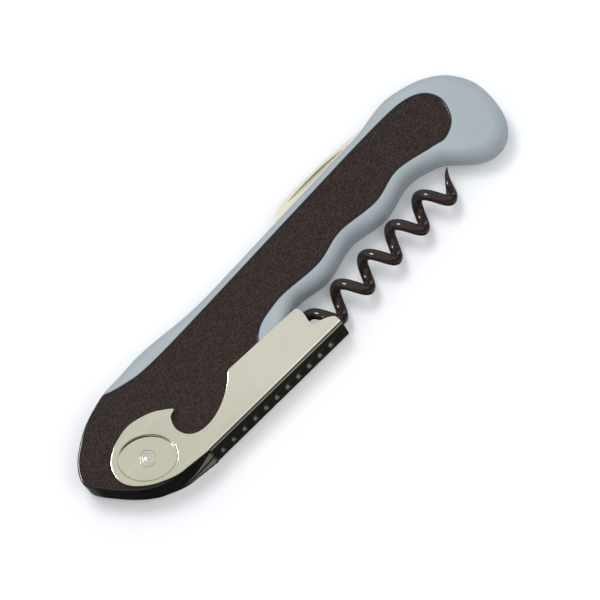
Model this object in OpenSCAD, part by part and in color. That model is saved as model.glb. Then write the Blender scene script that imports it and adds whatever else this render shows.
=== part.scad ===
// A waiter's corkscrew, lying closed on its side.
// X runs along the handle from the lever pivot to the head, Y points from the belly to the spine,
// Z is up through the handle's thickness. Millimetres.

/* [Handle] */
// Thickness of the handle between its two outer faces
handle_t = 8.6; // [8:0.1:10.4]
// Distance from the lever pivot back to the tail's end
tail_reach = 13.3; // [12.6:0.1:16.5]
// Distance from the lever pivot to the head's far end
head_reach = 107; // [89:0.1:128.5]
// Height of the straight spine above the lever pivot
spine_y = 16.05; // [15.5:0.05:17.5]
// Length of one finger groove along the belly
groove_pitch = 18; // [15:0.5:21.6]
// Depth of a finger groove
groove_depth = 1.7; // [0.8:0.1:2.1]
// Thickness of the outer wall beside the frame
wall_t = 1.9; // [1.5:0.1:2.3]
// Thickness of the decorative inlays
inlay_t = 0.5; // [0.3:0.1:0.8]
// Width of the black edge left showing around an inlay
inlay_margin = 0.4; // [0.3:0.1:0.8]

/* [Frame] */
// Thickness of one steel liner
liner_t = 0.8; // [0.6:0.1:1]
// Clear gap between the two liners
frame_gap = 3; // [2.8:0.1:3.2]
// Radius of the rivets that hold the frame together
frame_rivet_r = 1.2; // [1:0.1:1.4]
// Height of the knife's backspring
spring_h = 2.8; // [2.3:0.1:3.2]

/* [Lever] */
// Length of the lever from its pivot to its nose
lever_len = 49.1; // [46:0.1:59]
// Sheet thickness of the lever
lever_sheet = 1; // [0.8:0.05:1.2]
// Clearance between a lever cheek and the handle's face
lever_side_gap = 0.15; // [0.1:0.05:0.3]
// Distance of the lever's web from the pivot line, at the pivot
web_drop = 8.5; // [8.3:0.1:10.2]
// Rise of the web away from the handle for each millimetre of length
web_slope = 0.05; // [0.04:0.005:0.08]
// Outer radius of the bends between the web and the cheeks
bend_r = 1.6; // [1.2:0.1:2]
// Radius of the sleeve that the lever turns on
lever_sleeve_r = 1.85; // [1.6:0.05:2.2]
// Half length of the oval recess round the pivot
recess_a = 6.55; // [5.5:0.05:6.8]
// Half width of the oval recess round the pivot
recess_b = 5.1; // [4.3:0.05:5.4]
// Depth of the oval recess
recess_depth = 0.5; // [0.3:0.05:0.6]

/* [Worm] */
// Outside diameter of the worm
worm_od = 8; // [6.7:0.1:8.2]
// Diameter of the worm's wire
worm_wire = 2.4; // [2:0.05:2.5]
// Length of one turn of the worm
worm_pitch = 8.65; // [7.2:0.05:10.3]
// Distance from the lever pivot to the worm's pin
worm_pin_x = 38.5; // [37:0.1:39.5]
// Radius of the worm's pin
worm_pin_r = 1.5; // [1.2:0.05:1.5]

/* [Knife] */
// Length of the blade from its pivot to its tip
blade_len = 39.8; // [33.1:0.1:47.8]
// Thickness of the blade
blade_t = 1.6; // [1.3:0.1:2]
// Height of the blade's back above the knife pivot
blade_rise = 8.6; // [8:0.05:9.4]
// Radius of the blade's tang round the pivot
tang_r = 3.3; // [3:0.1:3.6]
// Radius of the knife's pin
knife_pin_r = 1.5; // [1.2:0.05:1.8]

/* [Clearances] */
// Radial clearance of every turning fit
run_gap = 0.05; // [0.03:0.01:0.08]
// Gap between pieces that are fixed to each other
seat_gap = 0.02; // [0.01:0.01:0.04]
// Smallest gap between two moving pieces
move_gap = 0.4; // [0.3:0.05:0.6]

/* [Hidden] */

$fn = 48;
big = 200;
over = 0.5;
curve_steps = 6;

// Heights through the thickness, from the lever's lower cheek at zero
z_low = lever_sheet + lever_side_gap;
z_high = z_low + handle_t;
z_mid = z_low + handle_t / 2;
lever_w = handle_t + 2 * (lever_sheet + lever_side_gap);
liner_in = frame_gap / 2;
liner_out = liner_in + liner_t;

// Pivots
knife_x = head_reach - 13.2;
knife_y = spine_y - 6.05;
worm_r = (worm_od - worm_wire) / 2;
worm_sleeve_r = worm_pin_r + 0.6;
eye_r = worm_sleeve_r + worm_wire / 2;
worm_pin_y = 0;

// The worm's axis runs along the belly and closes on it slightly towards the head;
// its first turn passes just clear of the lever's web
worm_start_x = worm_pin_x + 4.9;
worm_ease = 4;
worm_end_x = head_reach - 17.5;
worm_hump = 0.5;
worm_axis_rise = 0.0085;
worm_low_x = worm_start_x + (worm_ease + worm_pitch) / 2;
worm_axis_y = lever_sheet + move_gap / 8 + worm_od / 2 - web_drop - web_slope * worm_low_x;

// Where the handle's belly steps up to leave room for the worm
step_x = worm_pin_x + 8.1;
groove_top = 1.2;

// The frame's rivets: two through the spring, one through each spacer
spring_y = spine_y - 10.65;
rivet_xy = [[-7.5, 8], [27, spring_y + spring_h / 2], [56, spring_y + spring_h / 2],
            [head_reach - 9.2, -3.5]];

// The finished model is centred on its own outline, with its underside at zero
hump_h = 2.4;
centre_x = (head_reach - tail_reach) / 2;
centre_y = (max(knife_y + blade_rise, spine_y + hump_h) - web_drop - web_slope * lever_len) / 2;

// A smooth curve through the points p, as a Catmull-Rom spline with curve_steps points a span
function blend4(a, b, c, d, t) =
    0.5 * (2 * b + (c - a) * t + (2 * a - 5 * b + 4 * c - d) * t * t
           + (3 * b - a - 3 * c + d) * t * t * t);
function closed_curve(p) = let (n = len(p))
    [for (i = [0 : n - 1], k = [0 : curve_steps - 1])
        blend4(p[(i + n - 1) % n], p[i], p[(i + 1) % n], p[(i + 2) % n], k / curve_steps)];
function open_curve(p) = let (n = len(p))
    concat([for (i = [0 : n - 2], k = [0 : curve_steps - 1])
        blend4(p[max(i - 1, 0)], p[i], p[i + 1], p[min(i + 2, n - 1)], k / curve_steps)], [p[n - 1]]);
// A closed outline moved inwards by d along its own normals; the outline runs anticlockwise
function inward(a, b) = let (t = b - a) [-t[1], t[0]] / norm(t);
function inset(p, d) = let (n = len(p))
    [for (i = [0 : n - 1]) p[i] + d * inward(p[(i + n - 1) % n], p[(i + 1) % n])];
function arc(c, r, from, to, n) =
    [for (i = [0 : n]) let (a = from + (to - from) * i / n) c + r * [cos(a), sin(a)]];

// The handle's outline: belly from the tail to the head, round the head, back along the spine
tail_belly = [[-tail_reach, 7], [0.7 - tail_reach, 4.9], [-10.8, 2.2], [-8.7, -0.6], [-6, -3.5], [-3, -5.7],
              [1, -7.1], [6, -7.6], [14, -7.4], [24, -7.2], [step_x - 14.6, -6.2], [step_x - 8.1, -4],
              [step_x - 3.8, -0.8], [step_x, 0.9]];
groove_x = head_reach - 25.7;
groove_line = [for (k = [2 : -1 : 0]) each
    [[groove_x - (k - 0.5) * groove_pitch - groove_pitch, groove_top - groove_depth],
     [groove_x - k * groove_pitch, groove_top]]];
belly_grooves = [for (p = groove_line) if (p[0] > step_x + 5) p];
head_round = [[head_reach - 18.4, -1.2], [head_reach - 15.2, -4.4], [head_reach - 12.1, -7.4],
              [head_reach - 8.7, -8.9], [head_reach - 4.7, -8.4], [head_reach - 1.5, -5.2],
              [head_reach, 0], [head_reach - 0.1, 5.6], [head_reach - 2.7, 10.8],
              [head_reach - 6.9, spine_y - 1.75], [head_reach - 11.5, spine_y + 0.15],
              [head_reach - 16.1, spine_y + 1.15], [head_reach - 20.7, spine_y + 0.85],
              [head_reach - 25.2, spine_y + 0.05], [head_reach - 30, spine_y]];
spine_line = [[70, spine_y], [52, spine_y], [40, spine_y], [34, spine_y + 0.1], [29, spine_y + 0.5],
              [24, spine_y + 1.25], [18.5, spine_y + 2.05], [13.5, spine_y + hump_h], [7.5, spine_y + 2.1],
              [2, spine_y + 1.2], [-4, spine_y - 0.55], [4.1 - tail_reach, 12.5], [1.3 - tail_reach, 9.8]];
spine_back = [for (p = spine_line) if (p[0] < head_reach - 34) p];
handle_path = closed_curve(concat(tail_belly, belly_grooves, head_round, spine_back));

// The edge between the shells and the grip: all of the tail, then a panel inside the grip
panel_grooves = [for (k = [2 : -1 : 0]) each
    [[groove_x - (k + 0.5) * groove_pitch + 0.9, groove_top + 0.9],
     [groove_x - k * groove_pitch, groove_top + 2.25]]];
panel_edge = concat(
    [[step_x - 13.6, -12], [step_x - 13.4, -3], [step_x - 12.2, 0.1], [step_x - 9.4, 2.1],
     [step_x - 5.6, 2.9], [step_x - 1.1, 3.15]],
    [for (p = panel_grooves) if (p[0] > step_x + 3) p],
    [[head_reach - 17, 1.3], [head_reach - 13.4, 0.5], [head_reach - 9.6, 2.4],
     [head_reach - 7.7, 6.9], [head_reach - 9.1, spine_y - 5.25], [head_reach - 12.9, spine_y - 3],
     [head_reach - 18.8, spine_y - 2.2], [head_reach - 30, spine_y - 1.95]],
    [for (x = [70, 50, 25]) if (x < head_reach - 34) [x, spine_y - 1.95]],
    [[14, spine_y - 1.6], [9, spine_y - 0.7], [4, spine_y + 1.1], [0.5, spine_y + 4]]);
panel_path = concat(open_curve(panel_edge), [[-big / 4, spine_y + 4], [-big / 4, -12]]);

// The lever's side outline; its web runs from web_start to the nose
web_start = 10.1;
lever_tip = lever_len - 4.5;
hook_side = open_curve([[web_start, -8.8], [8, -8.5], [4.9, -8], [2, -7.5], [-1, -6.25], [-4, -4.4],
                        [-6.7, -1.6], [-7.7, 1.5], [-6.6, 4.7], [-3.9, 6.85], [-1.2, 7.75],
                        [2, 8.15], [5, 7.5], [8, 6.2], [11.5, 3.4]]);
opener_side = open_curve([[11.2, 3.1], [9.7, 2.4], [8.7, 0.1], [9.2, -2.3], [10.9, -4],
                          [13.8, -4.7], [17.2, -4.3], [20.6, -3], [23.2, -1.4], [24.9, 0.1]]);
nose_side = open_curve([[lever_tip - 1.6, -1.1], [lever_tip + 0.1, -1.4], [lever_tip + 0.5, -2.4],
                        [lever_tip + 0.4, -3.7], [lever_tip, -5.3], [lever_tip, -6],
                        [lever_tip + 0.25, -6.5], [lever_tip + 0.9, -6.85], [lever_tip + 2, -7.3],
                        [lever_tip + 3.2, -7.9], [lever_tip + 4.4, -8.9], [lever_len, -10]]);
lever_path = concat([[web_start, -big / 4]], hook_side, opener_side, [[25.4, 0.35]], nose_side,
                    [[lever_len, -big / 4]]);

// The blade's outline about its own pivot, folded, pointing along -X with its edge inside the handle
blade_edge = -1.0;
blade_path = open_curve([[0.2, tang_r], [-3.5, tang_r + 1.6], [-8, blade_rise - 2.4],
    [-13.5, blade_rise - 1.3], [-24, blade_rise - 0.25], [6.6 - blade_len, blade_rise],
    [3.6 - blade_len, blade_rise - 0.6], [1.6 - blade_len, blade_rise - 2],
    [0.4 - blade_len, blade_rise - 4], [-blade_len, blade_rise - 6.2], [1.3 - blade_len, 0.9],
    [5 - blade_len, -0.2], [10 - blade_len, blade_edge], [-14, blade_edge], [-6, blade_edge],
    [-3.2, -0.8]]);

// Prisms and cylinders through the thickness, placed from the middle plane
module slab(path, half) {
    translate([0, 0, z_mid - half]) linear_extrude(height = 2 * half) polygon(path);
}
module layer(path, from, to) {
    translate([0, 0, z_mid + from]) linear_extrude(height = to - from) polygon(path);
}
module rod(x, y, r, half) {
    translate([x, y, z_mid - half]) cylinder(r = r, h = 2 * half);
}
module tube(x, y, r_out, r_in, from, to) {
    translate([x, y, z_mid + from]) difference() {
        cylinder(r = r_out, h = to - from);
        translate([0, 0, -over]) cylinder(r = r_in, h = to - from + 2 * over);
    }
}
module flipped() {
    translate([0, 0, 2 * z_mid]) mirror([0, 0, 1]) children();
}
module placed() {
    translate([-centre_x, -centre_y, 0]) children();
}

// What every outer piece leaves free: the frame's space, the knife's slot and the worm's slot
module frame_space() {
    slab(inset(handle_path, wall_t), liner_out + seat_gap);
}
knife_slot_half = blade_t / 2 + move_gap;
module knife_slot() {
    x0 = knife_x - blade_len - 1;
    slab([[x0, knife_y + blade_edge - 0.5], [knife_x, knife_y - tang_r - move_gap], [knife_x + 2, 3.4],
          [head_reach + 5, 1], [head_reach + 5, spine_y + 15], [x0, spine_y + 15]], knife_slot_half);
}
worm_slot_half = worm_wire / 2 + 0.8;
module worm_slot() {
    slab([[worm_pin_x - 11, -12], [step_x - 2.4, -12], [step_x - 2.4, 3], [worm_pin_x - 11, 3]],
         worm_slot_half);
}
module pin_holes() {
    rod(worm_pin_x, worm_pin_y, worm_pin_r + seat_gap, pin_half + seat_gap);
    rod(knife_x, knife_y, knife_pin_r + seat_gap, pin_half + seat_gap);
}
pin_half = liner_out + 0.8;

// One half of the black body: a tail that closes round the frame and a panel under the inlay
module shell_half() {
    difference() {
        intersection() {
            layer(handle_path, seat_gap / 2, handle_t / 2);
            layer(inset(panel_path, seat_gap), -over, handle_t);
        }
        frame_space();
        knife_slot();
        worm_slot();
        pin_holes();
        inlay_space();
        rod(0, 0, lever_sleeve_r + seat_gap, big);
    }
}
rim = inlay_margin + 0.2;
module inlay_space() {
    intersection() {
        layer(inset(handle_path, rim), handle_t / 2 - inlay_t, handle_t);
        layer(inset(panel_path, inlay_margin + seat_gap), 0, handle_t + over);
    }
}
module inlay_half() {
    difference() {
        intersection() {
            layer(inset(handle_path, rim + seat_gap), handle_t / 2 - inlay_t + seat_gap, handle_t / 2);
            layer(inset(panel_path, inlay_margin + 2 * seat_gap), 0, handle_t + over);
        }
        rod(0, 0, lever_sleeve_r + seat_gap, big);
    }
}
module front_shell() {
    color("#14130f") shell_half();
}
module back_shell() {
    color("#14130f") flipped() shell_half();
}
module front_inlay() {
    color("#3a3230") inlay_half();
}
module back_inlay() {
    color("#3a3230") flipped() inlay_half();
}
module grip() {
    color("#a9b4b8") difference() {
        slab(handle_path, handle_t / 2);
        slab(panel_path, handle_t);
        frame_space();
        knife_slot();
        worm_slot();
        pin_holes();
    }
}

// The steel frame: two liners with the spring and the spacers riveted between them
module liner() {
    difference() {
        layer(inset(handle_path, wall_t + seat_gap), liner_in, liner_out);
        translate([worm_pin_x - 12, -big - 3.2, 0]) cube([step_x - worm_pin_x + 14, big, big]);
        for (p = rivet_xy) rod(p[0], p[1], frame_rivet_r + seat_gap, big);
        rod(0, 0, lever_sleeve_r + seat_gap, big);
        pin_holes();
    }
}
module front_liner() {
    color("#b9bbb6") liner();
}
module back_liner() {
    color("#b9bbb6") flipped() liner();
}
module backspring() {
    arm_top = knife_y - tang_r - 0.06;
    bar_top = spring_y + spring_h;
    color("#aeb0ab") difference() {
        slab([[17, spring_y], [knife_x - 27, spring_y], [knife_x - 13, arm_top - 2.2],
              [knife_x - 0.6, arm_top - 2], [knife_x - 0.6, arm_top], [knife_x - 11, arm_top],
              [knife_x - 26, bar_top], [17, bar_top]], liner_in - seat_gap);
        for (i = [1, 2]) rod(rivet_xy[i][0], rivet_xy[i][1], frame_rivet_r + seat_gap, big);
    }
}
module tail_spacer() {
    color("#20211f") difference() {
        intersection() {
            slab(inset(handle_path, wall_t + 2 * seat_gap), liner_in - seat_gap);
            translate([-big, -big, 0]) cube([big + 16, 2 * big, big]);
        }
        rod(rivet_xy[0][0], rivet_xy[0][1], frame_rivet_r + seat_gap, big);
        rod(0, 0, lever_sleeve_r + seat_gap, big);
    }
}
module head_spacer() {
    color("#20211f") difference() {
        intersection() {
            slab(inset(handle_path, wall_t + 2 * seat_gap), liner_in - seat_gap);
            slab([[head_reach - 18, -20], [head_reach, -20], [head_reach, -2.4], [head_reach - 8, 1.5],
                  [head_reach - 18, 1.5]], big / 2);
        }
        rod(rivet_xy[3][0], rivet_xy[3][1], frame_rivet_r + seat_gap, big);
    }
}
module frame_rivets() {
    color("#c9c9c2") for (p = rivet_xy) rod(p[0], p[1], frame_rivet_r, liner_out);
}

// The lever: one sheet bent to a channel, trimmed to its side outline
module lever_channel() {
    turn = -atan(web_slope);
    w = lever_w;
    t = lever_sheet;
    r = bend_r;
    profile = concat([[30, w], [r, w]], arc([r, w - r], r, 90, 180, 8), arc([r, r], r, 180, 270, 8),
                     [[30, 0], [30, t], [r, t]], arc([r, r], r - t, 270, 180, 6),
                     arc([r, w - r], r - t, 180, 90, 6), [[r, w - t], [30, w - t]]);
    translate([0, -web_drop, 0]) rotate([0, 0, turn]) translate([-20, 0, 0]) rotate([90, 0, 90])
        linear_extrude(height = lever_len + 40) polygon(profile);
}
module lever_recess() {
    oval = [for (a = [0 : 7.5 : 352.5]) [recess_a * cos(a), recess_b * sin(a)]];
    translate([0, 0, lever_w - recess_depth]) rotate([0, 0, -39]) linear_extrude(height = 2) polygon(oval);
}
module lever_outline(from, to) {
    translate([0, 0, from]) linear_extrude(height = to - from) polygon(lever_path);
}
// The flat cheeks short of the web; above its bend they lap onto the channel
module lever_lobes() {
    lap_y = bend_r - web_drop;
    intersection() {
        union() {
            lever_outline(0, lever_sheet);
            lever_outline(lever_w - lever_sheet, lever_w);
        }
        slab([[-big, -big], [web_start, -big], [web_start, lap_y], [web_start + 1, lap_y],
              [web_start + 1, big], [-big, big]], big);
    }
}
module lever() {
    color("#d2cfbe") difference() {
        union() {
            intersection() {
                lever_channel();
                lever_outline(-over, lever_w + over);
                translate([web_start, -big, -over]) cube([big, 2 * big, big]);
            }
            lever_lobes();
        }
        lever_recess();
        flipped() lever_recess();
        rod(0, 0, lever_sleeve_r + run_gap, big);
    }
}
pivot_half = lever_w / 2 - recess_depth;
lever_rivet_r = lever_sleeve_r - 0.55;
module lever_sleeve() {
    color("#c9c9c2") tube(0, 0, lever_sleeve_r, lever_rivet_r + seat_gap, -pivot_half, pivot_half);
}
module lever_rivet() {
    cap_h = recess_depth - 0.05;
    cap_r = lever_rivet_r + 0.1;
    ball_r = (cap_r * cap_r + cap_h * cap_h) / (2 * cap_h);
    dome = concat([[0, 0]], [for (k = [0 : 8]) let (a = asin(cap_r / ball_r) * (1 - k / 8))
                             [ball_r * sin(a), ball_r * cos(a) - ball_r + cap_h]]);
    color("#e4e4e0") {
        rod(0, 0, lever_rivet_r, pivot_half);
        translate([0, 0, z_mid + pivot_half]) rotate_extrude() polygon(dome);
        flipped() translate([0, 0, z_mid + pivot_half]) rotate_extrude() polygon(dome);
    }
}

// The worm: one wire bent to an eye, a short shank and a right-hand helix that ends in a point
wire_sides = 10;
turn_steps = 18;
worm_run = worm_end_x - worm_start_x;
worm_taper = worm_pitch * 0.4;
worm_tail = worm_pitch * 0.75;
function worm_stretch(s) = 0.16 / worm_tail * pow(max(s - worm_run + worm_tail, 0), 2);
function worm_phase(s) = 360 / worm_pitch
    * ((s < worm_ease ? s * s / (2 * worm_ease) : s - worm_ease / 2) - worm_stretch(s));
function worm_axis_at(x) = worm_axis_y + worm_axis_rise * max(x - worm_start_x, 0);
function worm_point(s) = let (x = worm_start_x + s, a = worm_phase(s))
    [x, worm_axis_at(x) + worm_r * cos(a) + worm_hump * pow(max(1 - s / 6, 0), 2),
     z_mid + worm_r * sin(a)];
function wire_radius(s) = let (left = min((worm_run - s) / worm_taper, 1))
    worm_wire / 2 * max(0.04, sqrt(left) * (0.45 + 0.55 * left));
eye_points = [for (a = [-370 : 20 : -90])
    [worm_pin_x + eye_r * cos(a), worm_pin_y + eye_r * sin(a), z_mid]];
helix_count = ceil(worm_run / worm_pitch * turn_steps);
helix_points = [for (i = [0 : helix_count]) worm_point(worm_run * i / helix_count)];
worm_points = concat(eye_points, helix_points);
worm_radii = concat([for (p = eye_points) worm_wire / 2],
                    [for (i = [0 : helix_count]) wire_radius(worm_run * i / helix_count)]);
// Rings square to the path; their first axis leans away from the worm's own axis or from the eye's centre
module swept_wire(points, radii) {
    n = len(points);
    rings = [for (i = [0 : n - 1])
        let (raw = points[min(i + 1, n - 1)] - points[max(i - 1, 0)],
             t = raw / norm(raw),
             side = cross(t, [0, 0, 1]),
             u = norm(side) < 0.2 ? [0, 1, 0] : side / norm(side),
             v = cross(t, u))
        [for (k = [0 : wire_sides - 1]) let (a = 360 * k / wire_sides)
            points[i] + radii[i] * (cos(a) * u + sin(a) * v)]];
    sides = [for (i = [0 : n - 2], k = [0 : wire_sides - 1]) each
        let (a = i * wire_sides + k, b = i * wire_sides + (k + 1) % wire_sides)
        [[a, b, b + wire_sides], [a, b + wire_sides, a + wire_sides]]];
    cap_a = [[for (k = [wire_sides - 1 : -1 : 0]) k]];
    cap_b = [[for (k = [0 : wire_sides - 1]) (n - 1) * wire_sides + k]];
    polyhedron([for (r = rings) each r], concat(sides, cap_a, cap_b), convexity = 10);
}
module worm() {
    color("#3b302e") swept_wire(worm_points, worm_radii);
}
module worm_sleeve() {
    color("#c9c9c2") tube(worm_pin_x, worm_pin_y, worm_sleeve_r - seat_gap, worm_pin_r + run_gap,
                          -worm_wire / 2, worm_wire / 2);
}
module worm_pin() {
    color("#c9c9c2") rod(worm_pin_x, worm_pin_y, worm_pin_r, pin_half);
}

// The foil knife with its nail nick, pin and washers
module knife_blade() {
    nick_z = blade_t / 2 - 0.35;
    nick = [[5.9 - blade_len + 1.5, blade_rise - 0.6], [-24, blade_rise - 1.5], [-17, blade_rise - 2.2],
            [-24, blade_rise - 1.15]];
    color("#d0cdba") difference() {
        union() {
            translate([knife_x, knife_y, 0]) slab(blade_path, blade_t / 2);
            rod(knife_x, knife_y, tang_r, blade_t / 2);
        }
        translate([knife_x, knife_y, 0]) layer(nick, nick_z, blade_t);
        rod(knife_x, knife_y, knife_pin_r + run_gap, big);
    }
}
module knife_pin() {
    color("#c9c9c2") rod(knife_x, knife_y, knife_pin_r, pin_half);
}
module knife_washers() {
    gap = seat_gap;
    color("#b08a4a") {
        tube(knife_x, knife_y, tang_r - 0.3, knife_pin_r + gap, blade_t / 2 + gap, liner_in - gap);
        tube(knife_x, knife_y, tang_r - 0.3, knife_pin_r + gap, gap - liner_in, -blade_t / 2 - gap);
    }
}

placed() front_shell();
placed() back_shell();
placed() front_inlay();
placed() back_inlay();
placed() grip();
placed() front_liner();
placed() back_liner();
placed() backspring();
placed() tail_spacer();
placed() head_spacer();
placed() frame_rivets();
placed() lever();
placed() lever_sleeve();
placed() lever_rivet();
placed() worm();
placed() worm_sleeve();
placed() worm_pin();
placed() knife_blade();
placed() knife_pin();
placed() knife_washers();
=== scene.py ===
"""Dresses a folding waiter's corkscrew: handle, lever, worm and foil knife, on a pale floor."""

import logging
import math
from dataclasses import dataclass, field
from enum import Enum

import bmesh
import bpy
import numpy as np
from mathutils import Matrix, Vector


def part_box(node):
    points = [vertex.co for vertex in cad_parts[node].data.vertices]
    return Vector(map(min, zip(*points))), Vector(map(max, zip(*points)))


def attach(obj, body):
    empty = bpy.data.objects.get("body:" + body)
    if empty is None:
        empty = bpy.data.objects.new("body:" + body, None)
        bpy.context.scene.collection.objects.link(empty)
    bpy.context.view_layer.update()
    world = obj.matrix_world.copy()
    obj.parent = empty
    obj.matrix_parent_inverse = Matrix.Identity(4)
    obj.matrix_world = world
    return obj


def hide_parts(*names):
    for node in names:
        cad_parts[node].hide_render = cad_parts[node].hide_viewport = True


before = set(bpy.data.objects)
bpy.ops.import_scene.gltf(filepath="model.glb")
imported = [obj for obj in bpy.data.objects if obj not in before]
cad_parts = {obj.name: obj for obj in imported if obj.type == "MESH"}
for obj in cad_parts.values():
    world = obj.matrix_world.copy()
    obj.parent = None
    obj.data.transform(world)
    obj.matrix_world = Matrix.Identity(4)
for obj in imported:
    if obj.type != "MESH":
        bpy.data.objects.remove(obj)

Array = np.ndarray
Colour = tuple[float, float, float]
Knots = list[list[float]]
Steps = list[tuple[float, float]]
log = logging.getLogger("corkscrew")


class Cut(Enum):
    """The three ways in which one closed solid is combined with another."""

    TAKE = "DIFFERENCE"
    JOIN = "UNION"
    KEEP = "INTERSECT"


# Curves and outlines, in millimetres


def curve(knots: Knots, closed: bool = False, steps: int = 14) -> Array:
    """A smooth line through its knots.

    Each span between two knots is a Catmull-Rom cubic: half of
    2b + (c-a)t + (2a-5b+4c-d)t^2 + (3b-a-3c+d)t^3 for the four knots a, b, c, d around it.

    Args:
        knots: the points in the plane that the line passes through.
        closed: whether the last knot joins the first one.
        steps: how many points a span gets.

    Returns:
        The line's points, one row each.
    """
    p = np.asarray(knots, float)
    n = len(p)
    spans = np.arange(n if closed else n - 1)
    around = [spans - 1, spans, spans + 1, spans + 2]
    a, b, c, d = (p[i % n] if closed else p[np.clip(i, 0, n - 1)] for i in around)
    t = (np.arange(steps) / steps)[None, :, None]
    a, b, c, d = (v[:, None, :] for v in (a, b, c, d))
    line = 0.5 * (2 * b + (c - a) * t + (2 * a - 5 * b + 4 * c - d) * t**2
                  + (3 * b - a - 3 * c + d) * t**3)
    line = line.reshape(-1, 2)
    return line if closed else np.vstack([line, p[-1:]])


def evened(outline: Array, count: int) -> Array:
    """A closed outline with its points spread evenly along its length.

    Args:
        outline: the closed outline's points.
        count: how many points the new one has.

    Returns:
        The same outline with count points.
    """
    loop = np.vstack([outline, outline[:1]])
    reach = np.concatenate([[0.0], np.cumsum(np.linalg.norm(np.diff(loop, axis=0), axis=1))])
    at = np.linspace(0, reach[-1], count, endpoint=False)
    return np.column_stack([np.interp(at, reach, loop[:, 0]), np.interp(at, reach, loop[:, 1])])


def inward(outline: Array) -> Array:
    """Unit normals into an anticlockwise outline: its tangent turned a quarter left."""
    tangent = np.roll(outline, -1, axis=0) - np.roll(outline, 1, axis=0)
    normal = np.column_stack([-tangent[:, 1], tangent[:, 0]])
    return normal / np.linalg.norm(normal, axis=1, keepdims=True)


def inset(outline: Array, depth: Array | float) -> Array:
    """An anticlockwise outline moved inwards along its own normals.

    Args:
        outline: the closed outline's points.
        depth: how far each point moves, one number or one for each point.

    Returns:
        The moved outline.
    """
    return outline + inward(outline) * np.broadcast_to(depth, len(outline))[:, None]


def distance_to(points: Array, line: Array) -> Array:
    """How far each point is from an open line: the least distance to any of its segments.

    Args:
        points: the points to measure from.
        line: the open line's points.

    Returns:
        One distance for each point.
    """
    a, ab = line[:-1], np.diff(line, axis=0)
    ap = points[:, None, :] - a[None]
    t = np.clip((ap * ab).sum(-1) / (ab * ab).sum(-1), 0, 1)
    return np.linalg.norm(ap - t[..., None] * ab, axis=-1).min(1)


def is_inside(points: Array, outline: Array) -> Array:
    """Which points lie inside an outline.

    They are those whose ray along +X crosses it an odd number of times.

    Args:
        points: the points to test.
        outline: the closed outline's points.

    Returns:
        One truth value for each point.
    """
    x, y = points[:, :1], points[:, 1:]
    ax, ay = outline.T
    bx, by = np.roll(outline, -1, axis=0).T
    spans = (ay > y) != (by > y)
    safe = np.where(by == ay, 1.0, by - ay)
    return (spans & (x < ax + (y - ay) / safe * (bx - ax))).sum(1) % 2 == 1


def softened(values: Array, width: int) -> Array:
    """Values along a closed outline, averaged over a moving window that is width points wide."""
    window = np.hanning(width + 2)[1:-1]
    around = np.concatenate([values[-width:], values, values[:width]])
    return np.convolve(around, window / window.sum(), "same")[width:-width]


def ellipse(a: float, b: float, turn: float, count: int = 96) -> Array:
    """An anticlockwise ellipse with half axes a and b, turned by so many degrees."""
    t = np.linspace(0, 2 * np.pi, count, endpoint=False)
    c, s = math.cos(math.radians(turn)), math.sin(math.radians(turn))
    x, y = a * np.cos(t), b * np.sin(t)
    return np.column_stack([c * x - s * y, s * x + c * y])


# Meshes


def solid(name: str, points: Array, faces: list) -> bpy.types.Object:
    """A mesh object made of points and faces, in millimetres until settle() places it.

    Args:
        name: the object's name.
        points: one row for each point.
        faces: lists of point numbers, running anticlockwise seen from outside.

    Returns:
        The new object.
    """
    mesh = bpy.data.meshes.new(name)
    mesh.from_pydata(np.asarray(points, float).tolist(), [], faces)
    mesh.validate()
    made = bpy.data.objects.new(name, mesh)
    bpy.context.scene.collection.objects.link(made)
    return made


def grid_faces(rows: int, columns: int, wrap_rows: bool = False) -> list:
    """The quads of a grid of rows by columns whose columns close on themselves.

    Args:
        rows: the number of rings.
        columns: the number of points in each ring.
        wrap_rows: whether the last ring joins the first one.

    Returns:
        The quads as lists of point numbers.
    """
    i = np.arange(rows if wrap_rows else rows - 1)[:, None]
    j = np.arange(columns)[None, :]
    after, beside = (i + 1) % rows, (j + 1) % columns
    quads = np.stack([i * columns + j, i * columns + beside, after * columns + beside,
                      after * columns + j], -1)
    return quads.reshape(-1, 4).tolist()


def stack(name: str, rings: Array) -> bpy.types.Object:
    """A closed solid made of rings stacked upwards, with a flat face at each end.

    Args:
        name: the object's name.
        rings: an array of rings, each an anticlockwise loop of points in space.

    Returns:
        The new object.
    """
    rows, columns, _ = rings.shape
    faces = grid_faces(rows, columns)
    faces.append(list(range(columns))[::-1])
    faces.append(list(range((rows - 1) * columns, rows * columns)))
    return solid(name, rings.reshape(-1, 3), faces)


def layered(name: str, outline: Array, steps: Steps,
            flip: float | None = None) -> bpy.types.Object:
    """An outline carried up through several heights, drawn in or let out at each.

    Args:
        name: the object's name.
        outline: the closed anticlockwise outline.
        steps: pairs of a height and the inset there, from the lowest up.
        flip: the height about which the finished shape is turned over, if it is.

    Returns:
        The new object.
    """
    rings = np.stack([np.column_stack([inset(outline, depth), np.full(len(outline), z)])
                      for z, depth in steps])
    if flip is not None:
        rings = rings[::-1] * [1, 1, -1] + [0, 0, 2 * flip]
    return stack(name, rings)


def prism(name: str, outline: Array, low: float, high: float) -> bpy.types.Object:
    """An outline carried straight up from one height to another."""
    return layered(name, outline, [(low, 0.0), (high, 0.0)])


def rim(height: float, radius: float, sign: float = 1.0, count: int = 5) -> Steps:
    """Steps for a quarter-round rim that ends level at a height.

    At angle a its height is height - r (1 - sin a) and its inset r (1 - cos a).

    Args:
        height: the rim's highest point.
        radius: its radius r.
        sign: 1 to round a solid's own edge, -1 to round the lip of the hole that it cuts.
        count: how many steps it has.

    Returns:
        Pairs of a height and an inset.
    """
    return [(height - radius * (1 - math.sin(a)), sign * radius * (1 - math.cos(a)))
            for a in np.radians(np.linspace(0, 90, count))]


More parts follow.
